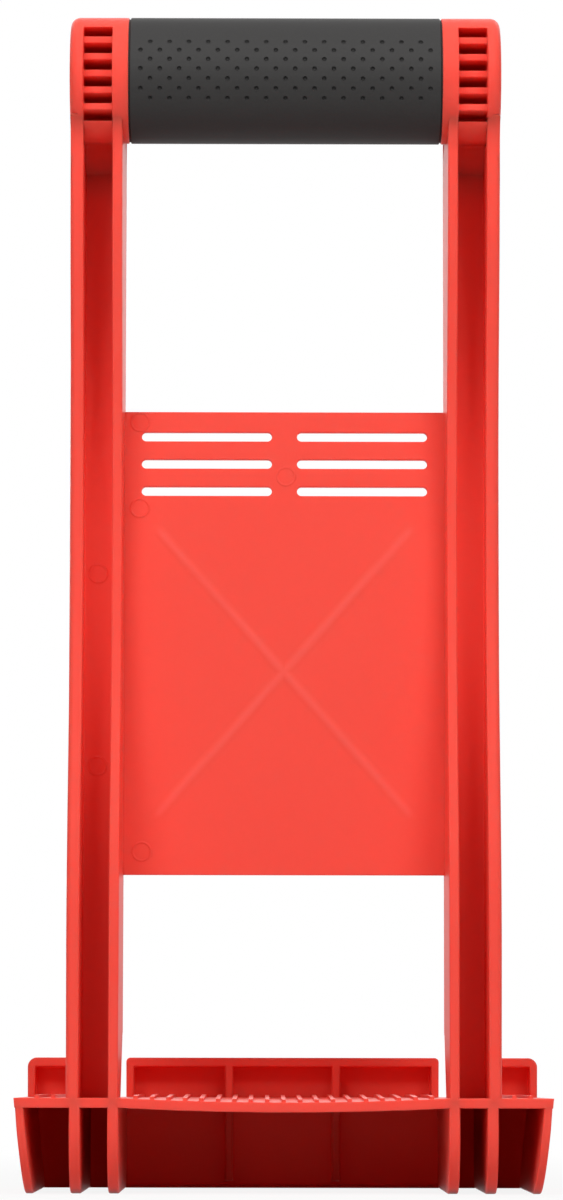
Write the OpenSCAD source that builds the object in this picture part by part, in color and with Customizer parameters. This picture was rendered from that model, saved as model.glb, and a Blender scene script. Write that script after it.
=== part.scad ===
// Panel carrier: a moulded frame that lifts boards by their lower edge.
// +X right, +Y away from the user towards the panel, +Z up. The origin is on the
// base, at the middle of the overall width and depth. Side outlines are drawn as
// [y, z] points measured from the panel face, the plane that the panel leans on.

/* [Rails] */
// Clear width between the two rails
rail_gap = 100.6; // [90:0.2:112]
// Clear width of the channel in each rail
channel_w = 8.9; // [7:0.1:12]
// Thickness of the inner flange of a rail
inner_flange_t = 3.1; // [2.2:0.1:4]
// Thickness of the outer flange of a rail
outer_flange_t = 2.4; // [2:0.1:4]
// Thickness of the web on the panel side of a rail
web_t = 3; // [2.2:0.1:4]
// Depth of a rail at its foot
rail_depth = 29.5; // [26:0.5:33]
// How far the near edges bow in towards the panel
bow_depth = 15.5; // [6:0.5:18]
// Height above the base where the bow starts
bow_low_z = 76; // [55:1:95]
// Height above the base where the bow ends
bow_high_z = 322; // [290:1:324]
// Radius that eases the straight edge into the bow
ease_r = 200; // [80:5:300]
// How far the web stands out past the inner flange
inner_overhang = 0.6; // [0.3:0.1:2]
// How far the web stands out past the outer flange
outer_overhang = 2.2; // [0.4:0.1:3]
// Height above the base where that overhang ends
overhang_z = 48.8; // [44:0.2:60]
// Radius of the flare between a near edge and its end block
flare_r = 2.5; // [1.5:0.5:10]
// Distance from the grip's axis down to the top of the webs
web_drop = 7.8; // [4:0.2:12]

/* [Plate] */
// Height of the lower edge of the plate above the base
plate_low_z = 97.8; // [80:0.2:120]
// Height of the plate itself
plate_h = 144.4; // [120:0.2:160]
// Thickness of the plate
plate_t = 2.5; // [2:0.1:4]
// Length of a slot, over its round ends
slot_len = 40.6; // [30:0.2:44]
// Height of a slot
slot_h = 2.8; // [2:0.1:4]
// Height from one row of slots to the next
slot_pitch = 8.55; // [6:0.05:10]
// Number of rows of slots
slot_rows = 3; // [1:1:4]
// Width of the bar between the two slots of a row
slot_bar = 7.8; // [5:0.2:12]
// Distance from the upper edge of the plate to the first row
slot_drop = 7.8; // [5:0.2:12]
// Width that the cross ribs span
cross_w = 80; // [60:1:88]
// Height that the cross ribs span
cross_h = 91; // [70:1:100]
// Height of the middle of the cross above the lower edge of the plate
cross_rise = 63; // [55:0.5:70]
// Thickness of a cross rib
cross_t = 3; // [2:0.1:4]

/* [Handle] */
// Diameter of the grip and of the end blocks
grip_d = 39; // [34:0.5:42]
// Length of the grip between the end blocks
grip_len = 96.8; // [90:0.2:98]
// Height of the grip's axis above the base
grip_z = 344.1; // [338:0.1:356]
// Thickness of the soft sleeve
grip_wall = 3; // [2:0.1:5]
// Wall thickness of the hollow core
core_wall = 3; // [2:0.1:5]
// Distance from the grip and the end blocks to the panel face
grip_setback = 0.4; // [0.2:0.1:3]
// Depth of the groove at each end of the grip
groove_depth = 0.5; // [0.2:0.1:1.5]
// Width of that groove
groove_w = 0.5; // [0.3:0.1:2]
// Diameter of a dimple
dimple_d = 1.5; // [1:0.1:2]
// Depth of a dimple
dimple_depth = 0.6; // [0.3:0.1:0.7]
// Distance between neighbouring dimples along the grip
dimple_pitch = 5.95; // [4:0.05:6.1]
// Number of dimple rows round the grip
dimple_rows = 7; // [3:2:9]
// Distance between rows, measured round the grip
dimple_row_step = 3.05; // [2.4:0.05:4]
// Number of dimples in an outer row
dimple_count = 15; // [5:2:15]

/* [End blocks] */
// How far an end block stands out past the outer flange
block_overhang = 1.8; // [0.4:0.1:3]
// Radius of the outer edge of an end block
block_edge_r = 3; // [1:0.5:5]
// Height of the louvred pocket
pocket_h = 29.2; // [24:0.2:30]
// How far the middle of the pocket lies below the grip's axis
pocket_drop = 0.4; // [0:0.1:2]
// Depth of the slots behind the louvre ribs
louvre_depth = 12; // [6:0.5:16]
// Number of louvre ribs
louvre_ribs = 5; // [3:1:6]
// Thickness of a louvre rib
louvre_t = 2.1; // [1.5:0.1:3]
// How far the louvre ribs stand out past the edges of the pocket
louvre_rise = 1.2; // [0:0.1:3]

/* [Shelf] */
// Width of the shelf at its face
shelf_w = 164; // [156:0.5:184]
// Width over the side walls at the base
foot_w = 158; // [150:0.5:170]
// Height of the shelf's face above the base
shelf_z = 29.2; // [26:0.2:36]
// Thickness of the shelf
shelf_t = 3; // [2.4:0.1:4]
// How far the near edge sags between the rails
shelf_sag = 1.3; // [0.5:0.1:3]
// Clear depth of the seat, from the panel face to the lip
seat_depth = 62; // [45:0.5:80]
// Distance between anti-slip ridges
ridge_pitch = 5; // [4:0.1:8]
// Width of a ridge
ridge_w = 1.3; // [0.8:0.1:2]
// Height of a ridge
ridge_h = 0.9; // [0.5:0.1:1.5]
// Thickness of the side walls
side_t = 2.6; // [2:0.1:4]
// Thickness of the gussets under the flanges
gusset_t = 3.4; // [2.4:0.1:4]
// Radius of the near lower corner of the walls under the shelf
foot_r = 20; // [10:0.5:21]

/* [Lip] */
// Height of the lip above the shelf
lip_h = 12.6; // [9:0.2:20]
// Length of a side lip, from the end of the shelf
side_lip_w = 16.6; // [10:0.2:17]
// Thickness of the lip and of the toe wall behind their frames
lip_t = 3; // [2:0.1:4]
// How far frames and ribs stand out from the lip and the toe wall
frame_t = 8; // [2:0.5:12]
// Width of the frame along the top of a lip
frame_top = 2.9; // [2:0.1:4]
// Width of the frame at the ends of a lip, and of the ribs
frame_side = 2.5; // [1.8:0.1:4]
// Distance between the two ribs on the toe wall and the lip
rib_gap = 34.4; // [24:0.2:50]
// Height of the rim along the bottom of the toe wall
toe_rim_h = 1.2; // [0.8:0.1:3]
// How far that rim stands out
toe_rim_d = 2.5; // [1:0.1:4]
// Height of the lower ends of the toe wall's ribs above that rim
rib_end_h = 1.2; // [0.2:0.1:4]
// Corner radius of the centre lip
lip_r = 1.4; // [0.5:0.1:2.2]
// Radius of the outer corners of the side lips
lip_end_r = 3; // [1:0.1:4]

/* [Hidden] */

red = "#e8463a";
black = "#3a3836";
// Overshoot of cutting tools past the faces that they cut
cut = 1;
// Sides of full circles, of the dimples' balls and of the very flat scoop
round_fn = 96;
ball_fn = 24;
scoop_fn = 720;
// Degrees per step along the drawn arcs
arc_step = 4;

// Widths from the middle: faces of the rails, and the grip's ends
rail_in = rail_gap / 2;
channel_in = rail_in + inner_flange_t;
channel_out = channel_in + channel_w;
rail_out = channel_out + outer_flange_t;
block_in = grip_len / 2;
block_out = rail_out + block_overhang;

// The grip and its axis, measured back from the panel face
grip_r = grip_d / 2;
core_r = grip_r - grip_wall;
axis_back = grip_r + grip_setback;

// Depths from the panel face, and the panel face itself in the part's frame
toe_face = seat_depth + frame_t;
toe_back = toe_face + lip_t;
panel_y = (axis_back + grip_r - toe_back) / 2;

// Heights
under_z = shelf_z - shelf_t;
plate_high_z = plate_low_z + plate_h;
lip_z = shelf_z + lip_h;
web_top_z = grip_z - web_drop;

// The bow: two easing arcs and one long arc, each turning by bow_turn
bow_half = (bow_high_z - bow_low_z) / 2;
bow_mid_z = (bow_high_z + bow_low_z) / 2;
bow_turn = 2 * atan(bow_depth / bow_half);
bow_r = bow_half / sin(bow_turn) - ease_r;

// The flare: an arc that touches the near edge and the end block
flare_y = rail_depth + flare_r - axis_back;
flare_rise = sqrt((flare_r + grip_r) ^ 2 - flare_y ^ 2);
flare_turn = atan2(flare_rise, flare_y);
// The drawn flare stops just short of the tangent point
flare_share = 0.9;

// Ridges start just behind the near edge and keep clear of the flanges
ridge_inset = 0.4;
ridge_clear = 1.5;
ridge_half = floor((rail_in - ridge_clear - ridge_w / 2) / ridge_pitch);
ridge_first = ceil((rail_out + ridge_clear + ridge_w / 2) / ridge_pitch);
ridge_last = floor((shelf_w / 2 - ridge_clear - ridge_w / 2) / ridge_pitch);

function arc(centre, r, from, to) =
  let (n = max(2, ceil(abs(to - from) / arc_step)))
  [for (i = [0:n]) let (a = from + (to - from) * i / n) centre + r * [cos(a), sin(a)]];

// Half width over the slanted side walls at a height above the base
function half_at(z) = (foot_w + (shelf_w - foot_w) * z / shelf_z) / 2;

// Range of widths that the side walls take up
wall_in = min(half_at(0), half_at(under_z)) - side_t;
wall_out = max(half_at(0), half_at(under_z));
// Middles of the gussets: under the flanges, and the outer ones clear of the side walls
wall_clear = 1;
inner_gusset_x = (rail_in + channel_in) / 2;
outer_gusset_x = min((channel_out + rail_out) / 2, wall_in - wall_clear - gusset_t / 2);

// The scoop: a flat cone between the inner gussets that runs out at the back of the toe wall
scoop_half = min(rail_in, inner_gusset_x - gusset_t / 2);
scoop_r = (scoop_half ^ 2 - shelf_sag ^ 2) / (2 * shelf_sag);

// Flange of a rail, from the shelf up to the end block
function flange_outline() = concat(
  [[0, shelf_z], [-rail_depth, shelf_z]],
  arc([ease_r - rail_depth, bow_low_z], ease_r, 180, 180 - bow_turn),
  arc([bow_depth - rail_depth - bow_r, bow_mid_z], bow_r, -bow_turn, bow_turn),
  arc([ease_r - rail_depth, bow_high_z], ease_r, 180 + bow_turn, 180),
  arc([-rail_depth - flare_r, grip_z - flare_rise], flare_r, 0, flare_turn * flare_share),
  [[-axis_back, web_top_z], [0, web_top_z]]
);

// Walls under the shelf, from the rounded near corner to the toe wall
function foot_outline() = concat(
  [[toe_face, 0], [toe_face, under_z], [-rail_depth, under_z]],
  arc([foot_r - rail_depth, foot_r], foot_r, 180, 270)
);

// Lip with its two upper corners rounded
function lip_outline(x0, x1, r0, r1) = concat(
  [[x0, shelf_z]],
  arc([x0 + r0, lip_z - r0], r0, 180, 90),
  arc([x1 - r1, lip_z - r1], r1, 90, 0),
  [[x1, shelf_z]]
);

// Moves shapes drawn from the panel face into the part's frame
module from_panel() {
  translate([0, panel_y, 0]) children();
}

// Extrudes a [y, z] outline between two places along X
module along_x(x0, x1) {
  translate([x0, 0, 0]) rotate([90, 0, 90]) linear_extrude(x1 - x0) children();
}

// Extrudes an [x, z] outline between two places along Y
module along_y(y0, y1) {
  translate([0, y1, 0]) rotate([90, 0, 0]) linear_extrude(y1 - y0) children();
}

// Box between two corners
module block(low, high) {
  translate(low) cube(high - low);
}

// A right-hand shape, mirrored for the left
module on_side(side) {
  mirror([side < 0 ? 1 : 0, 0, 0]) children();
}

// Puts children on the grip's axis, with local Z along X
module on_grip_axis() {
  translate([0, -axis_back, grip_z]) rotate([0, 90, 0]) children();
}

// Cone that scoops the shelf, grown outwards by a distance
module scoop(grow) {
  translate([0, -rail_depth - cut, shelf_z + scoop_r])
    rotate([-90, 0, 0])
      cylinder(
        h = rail_depth + toe_back + cut,
        r1 = scoop_r + shelf_sag * (1 + cut / (rail_depth + toe_back)) + grow,
        r2 = scoop_r + grow,
        $fn = scoop_fn
      );
}

module rail(side) {
  color(red) from_panel() on_side(side) difference() {
    union() {
      along_x(rail_in, channel_in) polygon(flange_outline());
      along_x(channel_out, rail_out) polygon(flange_outline());
      block([rail_in, -web_t, shelf_z], [rail_out, 0, web_top_z]);
      block(
        [rail_in - inner_overhang, -web_t, overhang_z],
        [rail_out + outer_overhang, 0, web_top_z]
      );
    }
    on_grip_axis()
      translate([0, 0, block_in])
        cylinder(h = rail_out + outer_overhang + cut - block_in, r = grip_r, $fn = round_fn);
  }
}

module slot(x0, z) {
  near_y = -web_t - plate_t - cut;
  far_y = cut - web_t;
  ends = [x0 + slot_h / 2, x0 + slot_len - slot_h / 2];
  block([ends[0], near_y, z - slot_h / 2], [ends[1], far_y, z + slot_h / 2]);
  for (x = ends)
    translate([x, far_y, z]) rotate([90, 0, 0]) cylinder(h = far_y - near_y, d = slot_h, $fn = round_fn);
}

module web_plate() {
  color(red) from_panel() difference() {
    block([-rail_in, -web_t - plate_t, plate_low_z], [rail_in, -web_t, plate_high_z]);
    for (row = [0:slot_rows - 1], x0 = [slot_bar / 2, -slot_bar / 2 - slot_len])
      slot(x0, plate_high_z - slot_drop - row * slot_pitch);
  }
}

module cross_ribs() {
  rib_len = sqrt(cross_w ^ 2 + cross_h ^ 2);
  rib_tilt = atan2(cross_h, cross_w);
  color(red) from_panel() translate([0, 0, plate_low_z + cross_rise])
    for (tilt = [rib_tilt, -rib_tilt])
      rotate([0, tilt, 0]) block([-rib_len / 2, -web_t, -cross_t / 2], [rib_len / 2, 0, cross_t / 2]);
}

module louvre_pocket() {
  mouth = sqrt(grip_r ^ 2 - (pocket_h / 2) ^ 2);
  gap = (pocket_h - louvre_ribs * louvre_t) / (louvre_ribs + 1);
  low_z = grip_z - pocket_drop - pocket_h / 2;
  floor_y = louvre_depth - axis_back - mouth;
  difference() {
    block([channel_in, -axis_back - grip_r - cut, low_z], [channel_out, floor_y, low_z + pocket_h]);
    for (i = [1:louvre_ribs])
      block(
        [channel_in - cut, -axis_back - mouth - louvre_rise, low_z + i * gap + (i - 1) * louvre_t],
        [channel_out + cut, floor_y + cut, low_z + i * (gap + louvre_t)]
      );
  }
}

module end_block(side) {
  color(red) from_panel() on_side(side) difference() {
    on_grip_axis() rotate_extrude($fn = round_fn) polygon(concat(
      [[0, block_in], [grip_r, block_in]],
      arc([grip_r - block_edge_r, block_out - block_edge_r], block_edge_r, 0, 90),
      [[0, block_out]]
    ));
    louvre_pocket();
  }
}

module handle_core() {
  color(red) from_panel() on_grip_axis() difference() {
    cylinder(h = grip_len, r = core_r, center = true, $fn = round_fn);
    cylinder(h = grip_len + 2 * cut, r = core_r - core_wall, center = true, $fn = round_fn);
  }
}

module dimples() {
  // Each dimple is part of a ball of the radius that gives its width and depth
  ball_r = (dimple_d ^ 2 / 4 + dimple_depth ^ 2) / (2 * dimple_depth);
  middle = (dimple_rows - 1) / 2;
  for (row = [0:dimple_rows - 1]) {
    count = dimple_count + row % 2;
    turn = (row - middle) * dimple_row_step / grip_r * 180 / PI;
    for (i = [0:count - 1])
      rotate([0, 0, 270 + turn])
        translate([grip_r - dimple_depth + ball_r, 0, (i - (count - 1) / 2) * dimple_pitch])
          sphere(ball_r, $fn = ball_fn);
  }
}

module grip() {
  color(black) from_panel() on_grip_axis() difference() {
    union() {
      cylinder(h = grip_len, r = grip_r - groove_depth, center = true, $fn = round_fn);
      cylinder(h = grip_len - 2 * groove_w, r = grip_r, center = true, $fn = round_fn);
    }
    cylinder(h = grip_len + 2 * cut, r = core_r, center = true, $fn = round_fn);
    dimples();
  }
}

module ridge(i) {
  x = i * ridge_pitch;
  block(
    [x - ridge_w / 2, ridge_inset - rail_depth, shelf_z - shelf_sag - shelf_t / 2],
    [x + ridge_w / 2, seat_depth, shelf_z + ridge_h]
  );
}

module shelf() {
  color(red) from_panel() difference() {
    union() {
      difference() {
        union() {
          along_y(-rail_depth, toe_face) polygon([
            [-half_at(under_z), under_z], [half_at(under_z), under_z],
            [half_at(shelf_z), shelf_z], [-half_at(shelf_z), shelf_z]
          ]);
          intersection() {
            block(
              [-scoop_half, -rail_depth, under_z - shelf_sag - cut],
              [scoop_half, toe_face, shelf_z - shelf_t / 2]
            );
            scoop(shelf_t);
          }
        }
        scoop(0);
      }
      for (i = [-ridge_half:1:ridge_half]) ridge(i);
      for (i = [ridge_first:1:ridge_last], end = [-1, 1]) ridge(end * i);
    }
    scoop(-ridge_h);
  }
}

module toe_rib(x) {
  block([x - frame_side / 2, seat_depth, toe_rim_h + rib_end_h], [x + frame_side / 2, toe_face, under_z]);
}

module toe_wall() {
  color(red) from_panel() {
    along_y(toe_face, toe_back) polygon([
      [-half_at(0), 0], [half_at(0), 0], [half_at(shelf_z), shelf_z], [-half_at(shelf_z), shelf_z]
    ]);
    block([-scoop_half, toe_face - toe_rim_d, 0], [scoop_half, toe_face, toe_rim_h]);
    for (end = [-1, 1]) toe_rib(end * rib_gap / 2);
  }
}

// Framed lip: pockets between the ends, the top frame and any ribs, open to the shelf
module framed_lip(x0, x1, r0, r1, ribs) {
  stops = concat([x0 + frame_side / 2], ribs, [x1 - frame_side / 2]);
  color(red) from_panel() difference() {
    along_y(seat_depth, toe_back) polygon(lip_outline(x0, x1, r0, r1));
    for (i = [1:len(stops) - 1])
      block(
        [stops[i - 1] + frame_side / 2, seat_depth - cut, shelf_z - cut],
        [stops[i] - frame_side / 2, toe_face, lip_z - frame_top]
      );
  }
}

module centre_lip() {
  framed_lip(-rail_in, rail_in, lip_r, lip_r, [-rib_gap / 2, rib_gap / 2]);
}

module side_lip(side) {
  on_side(side) framed_lip(shelf_w / 2 - side_lip_w, shelf_w / 2, lip_r, lip_end_r, []);
}

module side_wall(side) {
  color(red) from_panel() on_side(side) intersection() {
    along_y(-rail_depth - cut, toe_face + cut) polygon([
      [half_at(0), 0], [half_at(under_z), under_z],
      [half_at(under_z) - side_t, under_z], [half_at(0) - side_t, 0]
    ]);
    along_x(wall_in - cut, wall_out + cut) polygon(foot_outline());
  }
}

module gusset(side, x) {
  color(red) from_panel() on_side(side)
    along_x(x - gusset_t / 2, x + gusset_t / 2) polygon(foot_outline());
}

rail(-1);  // left_rail
rail(1);  // right_rail
web_plate();
cross_ribs();
end_block(-1);  // left_end_block
end_block(1);  // right_end_block
handle_core();
grip();
shelf();
toe_wall();
centre_lip();
side_lip(-1);  // left_lip
side_lip(1);  // right_lip
side_wall(-1);  // left_side_wall
side_wall(1);  // right_side_wall
gusset(-1, outer_gusset_x);  // left_outer_gusset
gusset(-1, inner_gusset_x);  // left_inner_gusset
gusset(1, inner_gusset_x);  // right_inner_gusset
gusset(1, outer_gusset_x);  // right_outer_gusset
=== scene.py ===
import math

import bmesh
import bpy
from mathutils import Matrix, Vector
from mathutils.bvhtree import BVHTree
from mathutils.geometry import tessellate_polygon


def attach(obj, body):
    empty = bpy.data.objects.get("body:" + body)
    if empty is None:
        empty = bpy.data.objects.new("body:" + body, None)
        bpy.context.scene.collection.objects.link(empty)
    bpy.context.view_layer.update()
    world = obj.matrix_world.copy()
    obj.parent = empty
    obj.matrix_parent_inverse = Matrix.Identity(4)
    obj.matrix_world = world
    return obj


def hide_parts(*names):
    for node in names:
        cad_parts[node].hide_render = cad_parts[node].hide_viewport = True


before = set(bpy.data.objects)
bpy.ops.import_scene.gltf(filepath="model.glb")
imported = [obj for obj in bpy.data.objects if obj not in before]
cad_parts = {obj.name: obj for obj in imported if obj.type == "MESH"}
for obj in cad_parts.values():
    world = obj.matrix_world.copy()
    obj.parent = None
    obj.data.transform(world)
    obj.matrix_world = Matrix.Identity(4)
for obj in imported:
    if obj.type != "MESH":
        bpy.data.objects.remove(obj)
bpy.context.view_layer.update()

# Everything is in metres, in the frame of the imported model
MM = 0.001
TO_USER = Vector((0, -1, 0))

# Corners closer than this are welded
WELD = 0.002 * MM
# Faces that meet at a smaller angle are one flat face
FLAT = math.radians(0.4)
# Edges at a larger angle are sharp
SHARP = math.radians(32)
# Places closer than this are the same
TOUCH = 0.02 * MM
# A face lies on a neighbour that is closer than this, which covers the facets of round ones
COVER = 0.06 * MM
# Step of the points that test it
SAMPLE_STEP = 10 * MM
# Decimals, in metres, that tell the upright faces of a rail apart
WIDTH_DECIMALS = 5

# Least cosine between the normals of faces in one plane, of faces that look the same way and
# of directions that count once, and between the normal of a level face and the vertical
IN_PLANE = 0.99
SAME_WAY = 0.9
REPEATED = 0.8
LEVEL = 0.5

# Radius where a rail's near edge flows into its end block, and how far the corners of that
# edge lie from its foremost depth
FLARE_R = 18 * MM
FLARE_REACH = 1 * MM
# Radius and steps of the fillet under the block, and how deep it starts in the web
FILLET_R = 13 * MM
FILLET_STEPS = 12
FOOT_SINK = 0.01 * MM
# How deep both end in the block
BLEND_SINK = 0.06 * MM

# How far a piece reaches into the neighbour that it is moulded on
SINK = 1.6 * MM
# How far its hidden end draws in, or stands proud on the near side, so that no faces coincide
TUCK = 0.06 * MM
PROUD = {"rail": 0.03 * MM, "gusset": 0.05 * MM}

# Edge rounding by the last word of a node's name, that of the other nodes, and its steps
EDGE_R = {
    "shelf": 0.3 * MM,
    "block": 0.4 * MM,
    "grip": 0.25 * MM,
    "ribs": 0.3 * MM,
    "plate": 0.3 * MM,
}
PLAIN_EDGE_R = 0.55 * MM
ROUND_STEPS = 3
# Length of each end of the grip, where alone its edges are rounded
GRIP_END = 1 * MM
# The round outer shoulder of a rail: its radius, and how far it stands out
SHOULDER_R = 1.8 * MM
SHOULDER_OUT = 1.6 * MM

# Soft raised bands over the cross ribs: width, height, and how far their painted sheen moves
# the flow tint toward its pale end
CROSS_MARK_W = 4.6 * MM
CROSS_MARK_H = 0.2 * MM
CROSS_MARK_PAINTED_SHEEN = 0.75
# Rings that ejector pins leave: radius, width and height of the line, and places [x, z]
PIN_R = 2.8 * MM
PIN_LINE = 0.5 * MM
PIN_H = 0.24 * MM
PLATE_PINS = [(x * MM, z * MM) for x, z in ((-45, 212), (-45, 239), (0.5, 222), (-44, 105))]
RAIL_PINS = [(x * MM, z * MM) for x, z in ((-57.9, 191.6), (-57.9, 131.6))]

# Share of a colour ramp that the noise of a material runs over
NOISE_SHARE = 0.5

# Red plastic: inputs of its shader, colours of the flow marks, whose pale end is also the
# painted sheen over the cross ribs, noise of the flow and of the grain, roughness over the
# grain, and bump of the grain
RED_SHADER = {
    "Specular IOR Level": 0.08,
    "Subsurface Weight": 0.5,
    "Subsurface Radius": (1, 0.12, 0.08),
    "Subsurface Scale": 5 * MM,
}
RED_TINTS = ((0.94, 0.085, 0.061), (0.97, 0.091, 0.065), (1, 0.112, 0.086))
RED_FLOW = {"Scale": 14, "Detail": 2}
RED_GRAIN = {"Scale": 2200, "Detail": 2}
RED_ROUGHNESS = {"To Min": 0.36, "To Max": 0.46}
RED_BUMP = {"Strength": 0.06, "Distance": 0.1 * MM}

# Black rubber: inputs of its shader, colours from the painted shade deep in the dimples up to
# the surface, noise and bump of the grain
BLACK_SHADER = {"Specular IOR Level": 0.2, "Roughness": 0.6}
BLACK_TINTS = ((0.004, 0.0038, 0.0037), (0.027, 0.026, 0.0256), (0.034, 0.0328, 0.0321))
BLACK_GRAIN = {"Scale": 1500, "Detail": 3}
BLACK_BUMP = {"Strength": 0.2, "Distance": 0.1 * MM}
# Depths below the grip's surface at which the painted shade in a dimple starts and is darkest
DIMPLE_RIM = 0.07 * MM
DIMPLE_SHADE = 0.35 * MM

# Floor: size, shader that takes the shadow, colour that the light bounces off, and radii
# between which its share of plain white grows from the first number to the last
WHITE = (1, 1, 1, 1)
FLOOR_SIZE = 80
FLOOR_SHADER = {"Base Color": (0.8, 0.8, 0.8, 1), "Roughness": 0.9}
FLOOR_BOUNCE = (0.75, 0.75, 0.75, 1)
FLOOR_RADII = (0.15, 0.9)
FLOOR_WHITE = (0.88, 1)

# Strength of the world's light, and softboxes: name, place, size and power
FILL_LIGHT = 0.13
LAMP_TARGET = Vector((0, 0, 0.2))
LAMPS = (
    ("left_softbox", (-0.55, -1.05, 1.08), (0.56, 0.8), 10.2),
    ("right_softbox", (0.55, -1.05, 1.08), (0.56, 0.8), 10.2),
    ("top_softbox", (0, -0.3, 1.6), (1.0, 0.6), 3),
    ("back_softbox", (0, 1.5, 0.8), (1.6, 1.2), 6),
)

# Camera, from the photograph's vanishing points, placed from the panel face; the sensor's
# width is in millimetres
PHOTO_LONG_SIDE = 1200
FOCAL_PIXELS = 4918
SENSOR_WIDTH = 36
CAMERA_X = -7 * MM
CAMERA_BACK = 1528 * MM
CAMERA_Z = 35 * MM
CAMERA_TILT = math.radians(5.563)
CAMERA_YAW = math.radians(0.2315)
CAMERA_ROLL = math.radians(0.095)


def kind(node):
    """The last word of a node's name."""
    return node.split("_")[-1]


def node_box(node):
    """Lowest and highest corner of a node."""
    points = [v.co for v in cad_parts[node].data.vertices]
    return [Vector([pick(p[i] for p in points) for i in range(3)]) for pick in (min, max)]


def flat_faced(node):
    """A node's solid as a welded bmesh with each flat face in one piece."""
    bm = bmesh.new()
    bm.from_mesh(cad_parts[node].data)
    bmesh.ops.remove_doubles(bm, verts=bm.verts, dist=WELD)
    bmesh.ops.dissolve_limit(bm, angle_limit=FLAT, verts=bm.verts, edges=bm.edges)
    bmesh.ops.recalc_face_normals(bm, faces=bm.faces)
    bm.normal_update()
    return bm


def sample_points(face):
    """Points spread over a face in steps of its triangles."""
    corners = [v.co.copy() for v in face.verts]
    points = []
    for triangle in tessellate_polygon([corners]):
        a, b, c = [corners[i] for i in triangle]
        longest = max((a - b).length, (b - c).length, (c - a).length)
        n = math.ceil(longest / SAMPLE_STEP)
        for i in range(n):
            for j in range(n - i):
                points.append(a + (b - a) * (i + 1 / 3) / n + (c - a) * (j + 1 / 3) / n)
    return points


def lies_on(face, trees):
    """Whether a face is covered all over by a neighbour's face."""
    points = sample_points(face)
    for point in points:
        hits = [tree.find_nearest(point, COVER) for tree in trees]
        if not any(h[0] is not None and h[1].dot(face.normal) < -SAME_WAY for h in hits):
            return False
    return len(points) > 0


def distinct_normals(faces):
    """The directions that some faces look in, leaving out near repeats."""
    ways = []
    for face in faces:
        if all(w.dot(face.normal) < REPEATED for w in ways):
            ways.append(face.normal.copy())
    return ways


def tangent_arc(side_y, radius, axis, drum_r, steps):
    """Points [y, z] of an arc that touches a face at a depth from below and ends on a drum."""
    centre_y = side_y - radius
    rise = math.sqrt((radius + drum_r) ** 2 - (axis.y - centre_y) ** 2)
    turn = math.atan2(rise, axis.y - centre_y)
    points = []
    for i in range(steps + 1):
        a = turn * i / steps
        points.append((centre_y + radius * math.cos(a), axis.z - rise + radius * math.sin(a)))
    return points


def drum_of(node):
    """Middle and radius of the end block over a rail."""
    low, high = node_box(node.split("_")[0] + "_end_block")
    return (low + high) / 2, (high.z - low.z) / 2


def rail_widths(bm):
    """Distances of a rail's faces from the middle: web, flange, channel twice, flange, web."""
    return sorted({round(abs(v.co.x), WIDTH_DECIMALS) for v in bm.verts})


def split_at(edge, z):
    """Splits an upright edge at a height and returns the new corner."""
    low, high = sorted(edge.verts, key=lambda v: v.co.z)
    return bmesh.utils.edge_split(edge, low, (z - low.co.z) / (high.co.z - low.co.z))[1]


def cut_face(corner, other):
    """Cuts the face that two corners share."""
    face = next(f for f in corner.link_faces if other in f.verts)
    bmesh.utils.face_split(face, corner, other)


def draft_side(bm, node, flange_x, near_x, web_x):
    """Slants the side of a flange from a place at its near edge out to the edge of the web."""
    web_y = node_box("web_plate")[1].y
    axis, drum_r = drum_of(node)

    def at(v, x):
        return abs(abs(v.co.x) - x) < TOUCH

    def on_web(v):
        return abs(v.co.y - web_y) < TOUCH

    def roots(x):
        return [e for e in bm.edges if all(at(v, x) and on_web(v) for v in e.verts)]

    def spans(edge, z):
        return min(v.co.z for v in edge.verts) < z < max(v.co.z for v in edge.verts)

    def is_cut(v):
        near = v.co.y < web_y - TOUCH and low < v.co.z < min(high, axis.z - drum_r)
        return near and all(abs(f.normal.z) < LEVEL for f in v.link_faces)

    root = max(roots(flange_x), key=lambda e: e.calc_length())
    low, high = sorted(v.co.z for v in root.verts)
    side = next(f for f in root.link_faces if all(at(v, flange_x) for v in f.verts))
    for corner in [v for v in side.verts if is_cut(v)]:
        z = corner.co.z
        spanning = [next(e for e in roots(x) if spans(e, z)) for x in (flange_x, web_x)]
        inner, outer = [split_at(edge, z) for edge in spanning]
        cut_face(corner, inner)
        cut_face(inner, outer)
    for v in bm.verts:
        if at(v, flange_x) and v.co.y < web_y - TOUCH:
            v.co.x = math.copysign(near_x, v.co.x)
        elif at(v, flange_x) and on_web(v) and v.co.z > low - TOUCH:
            v.co.x = math.copysign(web_x, v.co.x)
    bmesh.ops.remove_doubles(bm, verts=bm.verts, dist=WELD)


def ease_flares(bm, node):
    """Redraws the upper end of a rail's near edges as a long flare; returns where it starts."""
    axis, drum_r = drum_of(node)
    near_y = min(v.co.y for v in bm.verts if v.co.z < axis.z / 2)

    def flare(steps):
        return tangent_arc(near_y, FLARE_R, axis, drum_r - BLEND_SINK, steps)

    def on_flare(v):
        outside = math.hypot(v.co.y - axis.y, v.co.z - axis.z) > drum_r + TOUCH
        return outside and v.co.y < near_y + FLARE_REACH and v.co.z > start

    start = flare(1)[0][1]
    upper = [v for v in bm.verts if on_flare(v)]
    heights = sorted({round(v.co.z / TOUCH) for v in upper})
    arc = flare(len(heights) - 1)
    for v in upper:
        v.co.y, v.co.z = arc[heights.index(round(v.co.z / TOUCH))]
    return start


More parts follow.
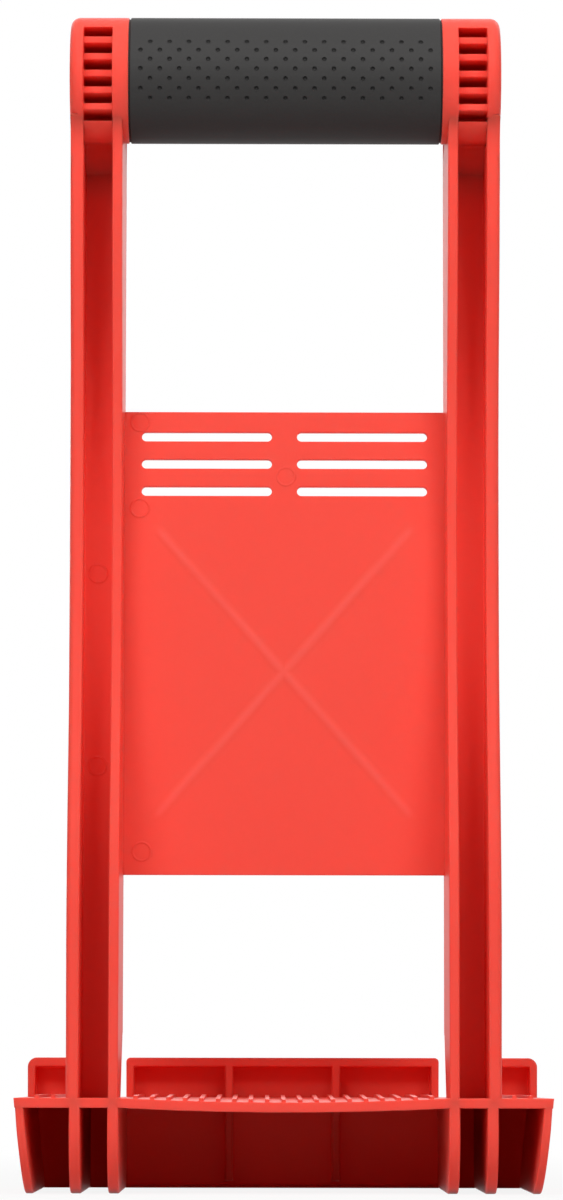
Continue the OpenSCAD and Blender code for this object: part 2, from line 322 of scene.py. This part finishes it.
def fill_channel_top(bm, node, walls):
    """Adds the fillet between the floor of a rail's channel and the end block."""
    axis, drum_r = drum_of(node)
    side = math.copysign(1, axis.x)
    floor_y = node_box("web_plate")[1].y + FOOT_SINK
    back_y = floor_y + SINK
    arc = tangent_arc(floor_y, FILLET_R, axis, drum_r - BLEND_SINK, FILLET_STEPS)
    outline = arc + [(arc[-1][0], axis.z), (back_y, axis.z), (back_y, arc[0][1])]
    ends = (walls[0] - SINK, walls[1] + SINK)
    rings = [[bm.verts.new((side * x, y, z)) for y, z in outline] for x in ends]
    faces = [bm.faces.new(ring) for ring in rings]
    for i in range(len(outline)):
        faces.append(bm.faces.new((rings[0][i - 1], rings[0][i], rings[1][i], rings[1][i - 1])))
    bmesh.ops.recalc_face_normals(bm, faces=faces)
    for edge in {edge for face in faces for edge in face.edges}:
        edge.smooth = edge.calc_face_angle(0) < SHARP


def sink_contacts(bm, node, trees):
    """Moves the faces that lie on a neighbour into it, so that no joint line shows."""
    covered = [face for face in bm.faces if lies_on(face, trees)]
    moves = {}
    for v in dict.fromkeys(v for face in covered for v in face.verts):
        move = SINK * sum(distinct_normals(f for f in v.link_faces if f in covered), Vector())
        for way in distinct_normals(f for f in v.link_faces if f not in covered):
            near = kind(node) in PROUD and way.dot(TO_USER) > SAME_WAY
            move += way * (PROUD[kind(node)] if near else -TUCK)
        moves[v] = move
    for v, move in moves.items():
        v.co += move


def add_piece(bm, node, material):
    """Turns a bmesh into the piece that stands for a CAD node."""
    mesh = bpy.data.meshes.new(node + "_moulding")
    for face in bm.faces:
        face.smooth = True
    bm.to_mesh(mesh)
    bm.free()
    piece = bpy.data.objects.new(node + "_moulding", mesh)
    bpy.context.scene.collection.objects.link(piece)
    mesh.materials.append(material)
    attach(piece, "root")
    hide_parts(node)
    return piece


def even_normals(piece):
    """Lets the large faces of a piece shade flat up to its rounded edges."""
    normals = piece.modifiers.new("face_normals", "WEIGHTED_NORMAL")
    normals.keep_sharp = True


def soften_edges(piece, radius):
    """Rounds the marked edges of a piece."""
    bevel = piece.modifiers.new("soft_edges", "BEVEL")
    bevel.width = radius
    bevel.segments = ROUND_STEPS
    bevel.limit_method = "WEIGHT"
    bevel.use_clamp_overlap = False
    bevel.harden_normals = True
    even_normals(piece)


def round_shoulder(bm, node, shoulder_x, top_z, edge_r):
    """Scales a rail's edge marks: full at the outer shoulder, none inside the end block."""
    axis, drum_r = drum_of(node)
    weight = bm.edges.layers.float["bevel_weight_edge"]
    for edge in bm.edges:
        ends = [v.co for v in edge.verts]
        outer = all(abs(abs(p.x) - shoulder_x) < TOUCH and p.z < top_z for p in ends)
        hidden = all(math.hypot(p.y - axis.y, p.z - axis.z) < drum_r for p in ends)
        share = 1 if outer else edge_r / SHOULDER_R
        edge[weight] *= 0 if hidden else share


def mark_edges(bm, node):
    """Marks the sharp edges to be rounded; some of a grip, shelf or toe wall stay sharp."""
    low, high = node_box(node)
    weight = bm.edges.layers.float.new("bevel_weight_edge")
    for edge in bm.edges:
        middle = (edge.verts[0].co + edge.verts[1].co) / 2
        kept = {
            "grip": min(middle.x - low.x, high.x - middle.x) > GRIP_END,
            "shelf": max(v.co.y for v in edge.verts) > low.y + TOUCH,
            "toe_wall": middle.z > high.z - TOUCH,
        }
        if edge.calc_face_angle(0) > SHARP:
            edge.smooth = not kept.get(node, False)
            edge[weight] = edge.smooth


def moulded_piece(node, trees, material):
    """A soft-edged piece that stands for a CAD node."""
    bm = flat_faced(node)
    is_rail = kind(node) == "rail"
    if is_rail:
        web_in, flange_in, channel_in, channel_out, flange_out, web_out = rail_widths(bm)
        shoulder_x = flange_out + SHOULDER_OUT
        draft_side(bm, node, flange_in, flange_in, web_in)
        draft_side(bm, node, flange_out, shoulder_x, web_out)
        bm.normal_update()
    if kind(node) != "block":
        sink_contacts(bm, node, [tree for other, tree in trees.items() if other != node])
    if is_rail:
        flare_z = ease_flares(bm, node)
    bmesh.ops.recalc_face_normals(bm, faces=bm.faces)
    bm.normal_update()
    mark_edges(bm, node)
    radius = EDGE_R.get(kind(node), PLAIN_EDGE_R)
    if is_rail:
        round_shoulder(bm, node, shoulder_x, flare_z, radius)
        radius = SHOULDER_R
        fill_channel_top(bm, node, (channel_in, channel_out))
    soften_edges(add_piece(bm, node, material), radius)


def rim_loops(node, facing):
    """Corner points round a node's flat faces that look one way, the solid on the left."""
    bm = flat_faced(node)
    follow = {}
    for face in bm.faces:
        if face.normal.dot(facing) > IN_PLANE:
            for corner in face.loops:
                twin = corner.link_loop_radial_next.face
                if twin.normal.dot(facing) < IN_PLANE:
                    follow[corner.vert] = corner.link_loop_next.vert
    loops = []
    while follow:
        first = next(iter(follow))
        loop = [first]
        v = follow.pop(first)
        while v is not first:
            loop.append(v)
            v = follow.pop(v)
        loops.append([v.co.copy() for v in loop])
    bm.free()
    return loops


def inset_ways(loop, facing):
    """At each corner of a loop, the way into the solid that keeps both edges' distance."""
    ways = []
    for i, point in enumerate(loop):
        edges = (point - loop[i - 1], loop[(i + 1) % len(loop)] - point)
        before, after = [facing.cross(edge).normalized() for edge in edges]
        ways.append((before + after) / (1 + before.dot(after)))
    return ways


def slab_piece(node, material):
    """A flat node with slots, built anew with round rims at both faces."""
    low, high = node_box(node)
    radius = EDGE_R[kind(node)]
    turns = [math.pi / 2 * i / ROUND_STEPS for i in range(ROUND_STEPS + 1)]
    near = [(radius * (1 - math.cos(a)), radius * (1 - math.sin(a))) for a in turns]
    thick = high.y - low.y
    steps = [(inset, thick - depth) for inset, depth in reversed(near)] + near
    bm = bmesh.new()
    ends = ([], [])
    for loop in rim_loops(node, TO_USER):
        for point in loop:
            if abs(point.x) > high.x - TOUCH:
                point.x += math.copysign(SINK, point.x)
        ways = inset_ways(loop, TO_USER)
        rings = [
            [bm.verts.new(p + w * inset - TO_USER * depth) for p, w in zip(loop, ways)]
            for inset, depth in steps
        ]
        for ring, after in zip(rings, rings[1:]):
            for i in range(len(loop)):
                bm.faces.new((ring[i - 1], ring[i], after[i], after[i - 1]))
        for end, ring in zip(ends, (rings[0], rings[-1])):
            end.extend(bm.edges.get((ring[i - 1], ring[i])) for i in range(len(ring)))
    for end in ends:
        bmesh.ops.triangle_fill(bm, use_beauty=True, edges=end)
    bmesh.ops.recalc_face_normals(bm, faces=bm.faces)
    even_normals(add_piece(bm, node, material))


def set_inputs(tree, node, inputs):
    """Sets inputs of a shader node by name or number: sockets are linked, values written."""
    for key, value in inputs.items():
        if isinstance(value, bpy.types.NodeSocket):
            tree.links.new(value, node.inputs[key])
        else:
            node.inputs[key].default_value = value


def shader_node(tree, node_type, inputs):
    """A new shader node with some inputs set."""
    node = tree.nodes.new(node_type)
    set_inputs(tree, node, inputs)
    return node


def new_material(name, inputs):
    """A new material with some inputs of its shader set, its node tree and that shader."""
    material = bpy.data.materials.new(name)
    material.use_nodes = True
    shader = material.node_tree.nodes["Principled BSDF"]
    set_inputs(material.node_tree, shader, inputs)
    return material, material.node_tree, shader


def calc(tree, operation, *values):
    """A math node on numbers and sockets."""
    node = shader_node(tree, "ShaderNodeMath", dict(enumerate(values)))
    node.operation = operation
    return node.outputs["Value"]


def fade(tree, value, span, ends=(1, 0)):
    """Goes smoothly from one number to another while a value runs over a span."""
    node = shader_node(tree, "ShaderNodeMapRange", {"Value": value})
    node.interpolation_type = "SMOOTHSTEP"
    names = ("From Min", "From Max", "To Min", "To Max")
    set_inputs(tree, node, dict(zip(names, (*span, *ends))))
    return node.outputs["Result"]


def coordinates(tree):
    """Object coordinates as three sockets."""
    place = tree.nodes.new("ShaderNodeTexCoord")
    split = shader_node(tree, "ShaderNodeSeparateXYZ", {"Vector": place.outputs["Object"]})
    return [split.outputs[axis] for axis in "XYZ"]


def distance(tree, a, b, centre):
    """Distance of two coordinates from a place."""
    offsets = [calc(tree, "SUBTRACT", *pair) for pair in zip((a, b), centre)]
    squares = [calc(tree, "POWER", offset, 2) for offset in offsets]
    return calc(tree, "SQRT", calc(tree, "ADD", *squares))


def noise(tree, inputs):
    """Noise in object coordinates."""
    place = tree.nodes.new("ShaderNodeTexCoord")
    node = shader_node(tree, "ShaderNodeTexNoise", inputs)
    tree.links.new(place.outputs["Object"], node.inputs["Vector"])
    return node.outputs["Fac"]


def colour_ramp(tree, factor, colours):
    """A ramp of three colours, the second half way."""
    node = shader_node(tree, "ShaderNodeValToRGB", {"Fac": factor})
    stops = node.color_ramp.elements
    stops.new(0.5)
    for stop, colour in zip(stops, colours):
        stop.color = (*colour, 1)
    return node


def ring_height(tree, x, z, centre):
    """The thin ring that an ejector pin leaves round a place."""
    off = calc(tree, "SUBTRACT", distance(tree, x, z, centre), PIN_R)
    return fade(tree, calc(tree, "ABSOLUTE", off), (0, PIN_LINE))


def cross_band(tree, x, z):
    """1 along the cross ribs of the plate, 0 away from them."""
    low, high = node_box("cross_ribs")
    half_w, half_h = (high.x - low.x) / 2, (high.z - low.z) / 2
    length = math.hypot(half_w, half_h)
    across = calc(tree, "ABSOLUTE", x)
    up = calc(tree, "ABSOLUTE", calc(tree, "SUBTRACT", z, (low.z + high.z) / 2))

    def turned(operation, across_share, up_share):
        parts = ((across, across_share / length), (up, up_share / length))
        return calc(tree, operation, *[calc(tree, "MULTIPLY", *part) for part in parts])

    along = turned("ADD", half_w, half_h)
    off = calc(tree, "ABSOLUTE", turned("SUBTRACT", half_h, half_w))
    band = fade(tree, off, (0, CROSS_MARK_W / 2))
    return calc(tree, "MULTIPLY", band, fade(tree, along, (length - CROSS_MARK_W, length)))


def red_plastic(name):
    """Satin moulded plastic: slight flow marks in the colour and a fine grain."""
    material, tree, shader = new_material(name, RED_SHADER)
    flow = calc(tree, "MULTIPLY", noise(tree, RED_FLOW), NOISE_SHARE)
    tint = colour_ramp(tree, flow, RED_TINTS)
    tint.name = "flow_and_sheen_tint"
    grain = noise(tree, RED_GRAIN)
    rough = shader_node(tree, "ShaderNodeMapRange", {"Value": grain, **RED_ROUGHNESS})
    bump = shader_node(tree, "ShaderNodeBump", {"Height": grain, **RED_BUMP})
    bump.name = "grain_bump"
    set_inputs(tree, shader, {
        "Base Color": tint.outputs["Color"],
        "Roughness": rough.outputs["Result"],
        "Normal": bump.outputs["Normal"],
    })
    return material


def marked_plastic(name, pins, crossed, near_y):
    """Red plastic with moulding marks on the faces nearer to the user than a depth; the cross
    bands also carry a painted sheen.
    """
    material = red_plastic(name)
    tree = material.node_tree
    x, y, z = coordinates(tree)
    near = calc(tree, "LESS_THAN", y, near_y)
    height = 0
    for pin in pins:
        ring = calc(tree, "MULTIPLY", ring_height(tree, x, z, pin), PIN_H)
        height = calc(tree, "ADD", height, ring)
    if crossed:
        band = calc(tree, "MULTIPLY", cross_band(tree, x, z), near)
        height = calc(tree, "ADD", height, calc(tree, "MULTIPLY", band, CROSS_MARK_H))
        # Painted sheen: the cross bands lift the flow tint to its pale end
        flow = tree.nodes["flow_and_sheen_tint"].inputs["Fac"]
        painted_sheen = calc(tree, "MULTIPLY", band, CROSS_MARK_PAINTED_SHEEN)
        tree.links.new(calc(tree, "ADD", flow.links[0].from_socket, painted_sheen), flow)
    relief = calc(tree, "MULTIPLY", height, near)
    bump = shader_node(tree, "ShaderNodeBump", {"Height": relief, "Distance": 1})
    tree.links.new(bump.outputs["Normal"], tree.nodes["grain_bump"].inputs["Normal"])
    return material


def black_rubber():
    """Matte black rubber with a fine grain, and painted shade down in the dimples and grooves.
    """
    material, tree, shader = new_material("black_rubber", BLACK_SHADER)
    low, high = node_box("grip")
    middle, radius = (low + high) / 2, (high.z - low.z) / 2
    _, y, z = coordinates(tree)
    reach = distance(tree, y, z, (middle.y, middle.z))
    # Painted shade: the tint darkens with depth below the grip's surface
    span = (radius - DIMPLE_SHADE, radius - DIMPLE_RIM)
    out_of_painted_shade = fade(tree, reach, span, (0, 1 - NOISE_SHARE))
    grain = noise(tree, BLACK_GRAIN)
    speckle = calc(tree, "MULTIPLY", grain, NOISE_SHARE)
    tint = colour_ramp(tree, calc(tree, "ADD", speckle, out_of_painted_shade), BLACK_TINTS)
    bump = shader_node(tree, "ShaderNodeBump", {"Height": grain, **BLACK_BUMP})
    set_inputs(tree, shader, {
        "Base Color": tint.outputs["Color"],
        "Normal": bump.outputs["Normal"],
    })
    return material


def make_pieces():
    """One piece for each CAD node."""
    red = red_plastic("red_plastic")
    black = black_rubber()
    plate = node_box("web_plate")
    plate_middle = (plate[0].y + plate[1].y) / 2
    plate_red = marked_plastic("plate_plastic", PLATE_PINS, True, plate_middle)
    rail_red = marked_plastic("rail_plastic", RAIL_PINS, False, plate[1].y + TOUCH)
    trees = {}
    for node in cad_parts:
        bm = bmesh.new()
        bm.from_mesh(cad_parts[node].data)
        trees[node] = BVHTree.FromBMesh(bm)
        bm.free()
    for node in sorted(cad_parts):
        if node == "web_plate":
            slab_piece(node, plate_red)
        elif node == "left_rail":
            moulded_piece(node, trees, rail_red)
        elif node == "grip":
            moulded_piece(node, trees, black)
        else:
            moulded_piece(node, trees, red)


def light_path_mix(tree, seen, unseen):
    """Joins two shaders: one for rays from the camera and mirrors, one for the light itself."""
    path = tree.nodes.new("ShaderNodeLightPath")
    either = path.outputs["Is Camera Ray"]
    for ray in ("Is Glossy Ray", "Is Transmission Ray"):
        either = calc(tree, "MAXIMUM", either, path.outputs[ray])
    mix = shader_node(tree, "ShaderNodeMixShader", {"Fac": either, 1: unseen, 2: seen})
    return mix.outputs["Shader"]


def make_floor():
    """A floor that takes the object's shadow and fades to plain white away from it."""
    bpy.ops.mesh.primitive_plane_add(size=FLOOR_SIZE)
    floor = bpy.context.object
    floor.name = "floor"
    material, tree, matte = new_material("pale_floor", FLOOR_SHADER)
    dim = shader_node(tree, "ShaderNodeBsdfDiffuse", {"Color": FLOOR_BOUNCE})
    white = shader_node(tree, "ShaderNodeEmission", {"Strength": 1})
    x, y, _ = coordinates(tree)
    share = fade(tree, distance(tree, x, y, (0, 0)), FLOOR_RADII, FLOOR_WHITE)
    pale = shader_node(tree, "ShaderNodeMixShader", {
        "Fac": share,
        1: matte.outputs["BSDF"],
        2: white.outputs["Emission"],
    })
    mixed = light_path_mix(tree, pale.outputs["Shader"], dim.outputs["BSDF"])
    tree.links.new(mixed, tree.nodes["Material Output"].inputs["Surface"])
    floor.data.materials.append(material)


def make_world():
    """White to the camera and in mirrors, and a weak fill light."""
    world = bpy.data.worlds.new("studio")
    bpy.context.scene.world = world
    world.use_nodes = True
    tree = world.node_tree
    fill = tree.nodes["Background"]
    set_inputs(tree, fill, {"Color": WHITE, "Strength": FILL_LIGHT})
    white = shader_node(tree, "ShaderNodeBackground", {"Color": WHITE, "Strength": 1})
    mixed = light_path_mix(tree, white.outputs["Background"], fill.outputs["Background"])
    tree.links.new(mixed, tree.nodes["World Output"].inputs["Surface"])


def make_lamp(name, place, size, power):
    """A softbox that looks at the middle of the object."""
    data = bpy.data.lights.new(name, "AREA")
    data.shape = "RECTANGLE"
    data.size, data.size_y = size
    data.energy = power
    lamp = bpy.data.objects.new(name, data)
    lamp.location = place
    lamp.rotation_euler = (LAMP_TARGET - Vector(place)).to_track_quat("-Z", "Y").to_euler()
    lamp.visible_camera = False
    bpy.context.scene.collection.objects.link(lamp)


def make_camera(panel_y):
    """The photograph's camera, placed from the depth of the panel face."""
    data = bpy.data.cameras.new("photo_camera")
    data.sensor_width = SENSOR_WIDTH
    data.lens = FOCAL_PIXELS / PHOTO_LONG_SIDE * SENSOR_WIDTH
    camera = bpy.data.objects.new("photo_camera", data)
    camera.location = (CAMERA_X, panel_y - CAMERA_BACK, CAMERA_Z)
    turns = ((-CAMERA_YAW, "Z"), (math.pi / 2 + CAMERA_TILT, "X"), (CAMERA_ROLL, "Z"))
    yaw, tilt, roll = [Matrix.Rotation(angle, 3, axis) for angle, axis in turns]
    camera.rotation_euler = (yaw @ tilt @ roll).to_euler()
    bpy.context.scene.collection.objects.link(camera)
    bpy.context.scene.camera = camera


make_pieces()
make_floor()
make_world()
for lamp_values in LAMPS:
    make_lamp(*lamp_values)
make_camera(node_box("left_rail")[1].y)
bpy.context.scene.view_settings.view_transform = "Standard"
